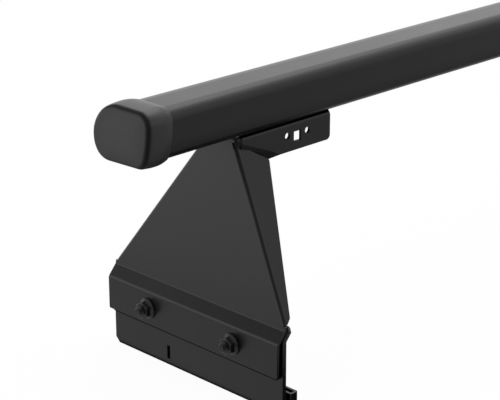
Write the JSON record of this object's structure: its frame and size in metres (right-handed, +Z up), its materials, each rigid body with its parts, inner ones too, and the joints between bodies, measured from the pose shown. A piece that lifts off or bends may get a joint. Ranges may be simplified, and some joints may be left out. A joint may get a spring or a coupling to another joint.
{
  "type": "roof bar with gutter-clamp feet",
  "caption": "Black van roof bar of blunt oval section with push-on end caps, on two folded sheet-steel feet whose bolted jaws clamp a roof gutter.",
  "frame": {"origin": "on the ground under the middle of the bar, midway between the feet", "axes": "+X along the bar, +Z up, +Y towards the blunt nose of the bar's section"},
  "size_m": [1.51, 0.2, 0.2494],
  "materials": {
    "bar_coating": "satin black powder coat",
    "cap_plastic": "matte black moulded plastic",
    "steel_coating": "fine matte black powder coat",
    "fastener_black": "black zinc"
  },
  "bodies": {
    "rack_bar": {"crossbar": "bar_coating", "left_end_cap": "cap_plastic", "left_foot_bracket": "steel_coating", "left_clamp_plate": "steel_coating", "left_nut_plate": "fastener_black", "left_flange_nut_1": "fastener_black", "left_spacer_1": "fastener_black", "left_bar_washer_1": "fastener_black", "left_bar_screw_1": "fastener_black", "left_flange_nut_2": "fastener_black", "left_spacer_2": "fastener_black", "left_bar_washer_2": "fastener_black", "left_bar_screw_2": "fastener_black", "right_end_cap": "cap_plastic", "right_foot_bracket": "steel_coating", "right_clamp_plate": "steel_coating", "right_nut_plate": "fastener_black", "right_flange_nut_1": "fastener_black", "right_spacer_1": "fastener_black", "right_bar_washer_1": "fastener_black", "right_bar_screw_1": "fastener_black", "right_flange_nut_2": "fastener_black", "right_spacer_2": "fastener_black", "right_bar_washer_2": "fastener_black", "right_bar_screw_2": "fastener_black"},
    "left_jaw": {"left_clamp_jaw": "steel_coating", "left_clamp_bolt_1": "fastener_black", "left_clamp_bolt_2": "fastener_black"},
    "right_jaw": {"right_clamp_jaw": "steel_coating", "right_clamp_bolt_1": "fastener_black", "right_clamp_bolt_2": "fastener_black"}
  },
  "joints": [
    {"name": "left_jaw_slide", "type": "slide", "parent": "rack_bar", "child": "left_jaw", "axis": [1, 0, 0], "range_m": [-0.005, 0.007]},
    {"name": "right_jaw_slide", "type": "slide", "parent": "rack_bar", "child": "right_jaw", "axis": [-1, 0, 0], "range_m": [-0.005, 0.007]}
  ]
}
